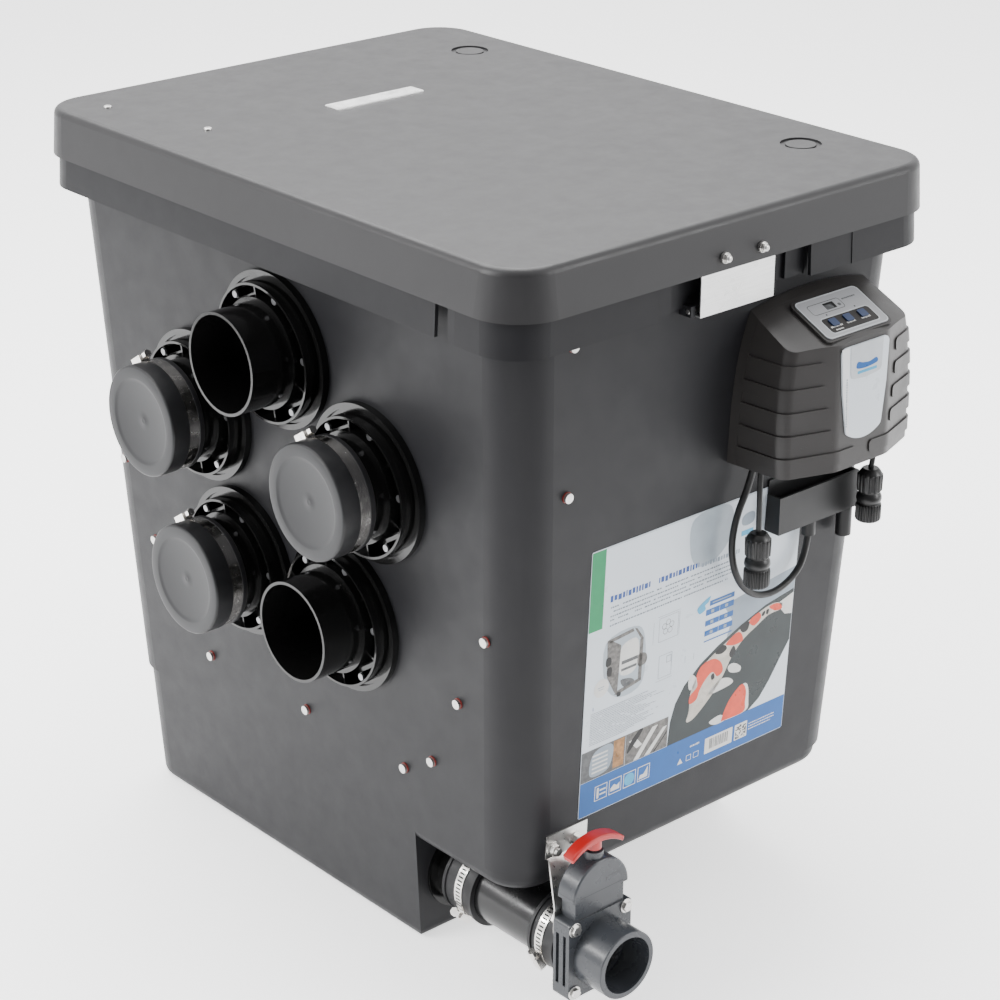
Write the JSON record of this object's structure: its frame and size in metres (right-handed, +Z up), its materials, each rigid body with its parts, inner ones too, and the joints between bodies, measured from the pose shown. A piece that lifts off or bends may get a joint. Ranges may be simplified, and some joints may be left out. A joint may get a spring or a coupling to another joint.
{
  "type": "pond drum filter module",
  "caption": "Gravity-fed pond drum filter: tapered box tank with loose lid, ring of pipe stubs, dump valve and wall-mounted controller.",
  "frame": {"origin": "on the floor, under the centre of the lid and tank", "axes": "+X towards the outlet wall, -X the wall with five pipe stubs, -Y the front with controller and dump valve, +Z up"},
  "size_m": [0.6664, 0.8584, 0.8322],
  "materials": {
    "tank_plastic": "moulded charcoal plastic, fine grain",
    "gloss_black": "glossy black moulded plastic",
    "grey_rubber": "dark grey rubber",
    "black_rubber": "black rubber",
    "seal_red": "red sealing rubber",
    "stainless": "stainless steel",
    "bright_plate": "pale polished steel",
    "valve_pvc": "dark grey pvc",
    "handle_red": "red plastic",
    "label_print": "printed film",
    "controller_plastic": "dark grey plastic, fine grain",
    "panel_silver": "silver printed film",
    "key_blue": "dark blue keys",
    "shield_light": "pale silver plastic",
    "cable_black": "black cable jacket",
    "inner_plastic": "dark grey plastic",
    "mesh_steel": "fine steel mesh",
    "acetal_white": "white acetal",
    "foam_black": "black foam"
  },
  "bodies": {
    "root": {"axle": "stainless", "bulkhead": "inner_plastic", "cap_clamps": "stainless", "control_panel": "panel_silver", "controller_back": "controller_plastic", "controller_cover": "controller_plastic", "drain_clamps": "stainless", "drain_couplers": "black_rubber", "drain_pipe": "gloss_black", "drain_spigot": "gloss_black", "drum_cradle": "stainless", "drum_seal": "black_rubber", "end_caps": "grey_rubber", "gearmotor": "inner_plastic", "gutter": "inner_plastic", "hinge_rod": "stainless", "holder_tray": "controller_plastic", "inlet_stub_open": "gloss_black", "inlet_stubs_capped": "gloss_black", "label": "label_print", "left_connector": "cable_black", "left_lead": "cable_black", "lid_gasket": "foam_black", "loop_cable": "cable_black", "outlet_stubs": "gloss_black", "right_connector": "cable_black", "right_lead": "cable_black", "rinse_pump": "inner_plastic", "shield_plate": "shield_light", "spray_nozzles": "acetal_white", "spray_pipe": "inner_plastic", "stub_screws": "stainless", "tank": "tank_plastic", "valve_body_front": "valve_pvc", "valve_body_rear": "valve_pvc", "valve_bolts": "stainless", "valve_bonnet": "valve_pvc", "valve_bracket": "stainless", "wall_screw_washers": "seal_red", "wall_screws": "stainless", "waste_stub": "gloss_black"},
    "lid": {"lid": "tank_plastic", "lid_hinge_plate": "bright_plate", "hinge_plate_bolts": "stainless", "lid_plugs": "tank_plastic", "lid_nameplate": "bright_plate", "lid_screws": "stainless"},
    "drum": {"drum_frame": "inner_plastic", "screen_panels": "mesh_steel", "gear_ring": "acetal_white", "hub_bush": "acetal_white"},
    "pinion": {"pinion": "acetal_white"},
    "roller_left": {"roller_left": "acetal_white"},
    "roller_right": {"roller_right": "acetal_white"},
    "pump_impeller": {"pump_impeller": "inner_plastic"},
    "gate": {"gate_blade": "stainless", "valve_handle": "handle_red"},
    "key_left": {"key_left": "key_blue"},
    "key_middle": {"key_middle": "key_blue"},
    "key_right": {"key_right": "key_blue"}
  },
  "joints": [
    {"name": "lid_hinge", "type": "hinge", "parent": "root", "child": "lid", "pos_m": [0, -0.3855, 0.74], "axis": [1, 0, 0], "range_deg": [0, 85]},
    {"name": "drum_spin", "type": "hinge", "parent": "root", "child": "drum", "pos_m": [0, 0, 0.494], "axis": [1, 0, 0], "continuous": true},
    {"name": "pinion_spin", "type": "hinge", "parent": "root", "child": "pinion", "pos_m": [0.109, 0.20506, 0.69906], "axis": [1, 0, 0], "continuous": true},
    {"name": "roller_left_spin", "type": "hinge", "parent": "root", "child": "roller_left", "pos_m": [-0.19, -0.13515, 0.25991], "axis": [1, 0, 0], "continuous": true},
    {"name": "roller_right_spin", "type": "hinge", "parent": "root", "child": "roller_right", "pos_m": [-0.19, 0.13515, 0.25991], "axis": [1, 0, 0], "continuous": true},
    {"name": "impeller_spin", "type": "hinge", "parent": "root", "child": "pump_impeller", "pos_m": [0.2, -0.12, 0.27], "axis": [1, 0, 0], "continuous": true},
    {"name": "gate_slide", "type": "slide", "parent": "root", "child": "gate", "axis": [0, 0, 1], "range_m": [0, 0.058]},
    {"name": "key_left_press", "type": "slide", "parent": "root", "child": "key_left", "axis": [0, 0.4226, -0.9063], "range_m": [0, 0.001], "stiffness_N_per_m": 400},
    {"name": "key_middle_press", "type": "slide", "parent": "root", "child": "key_middle", "axis": [0, 0.4226, -0.9063], "range_m": [0, 0.001], "stiffness_N_per_m": 400},
    {"name": "key_right_press", "type": "slide", "parent": "root", "child": "key_right", "axis": [0, 0.4226, -0.9063], "range_m": [0, 0.001], "stiffness_N_per_m": 400}
  ],
  "couplings": [
    {"joint": "pinion_spin", "follows": "drum_spin", "ratio": -6.25},
    {"joint": "roller_left_spin", "follows": "drum_spin", "ratio": -12.5},
    {"joint": "roller_right_spin", "follows": "drum_spin", "ratio": -12.5}
  ]
}
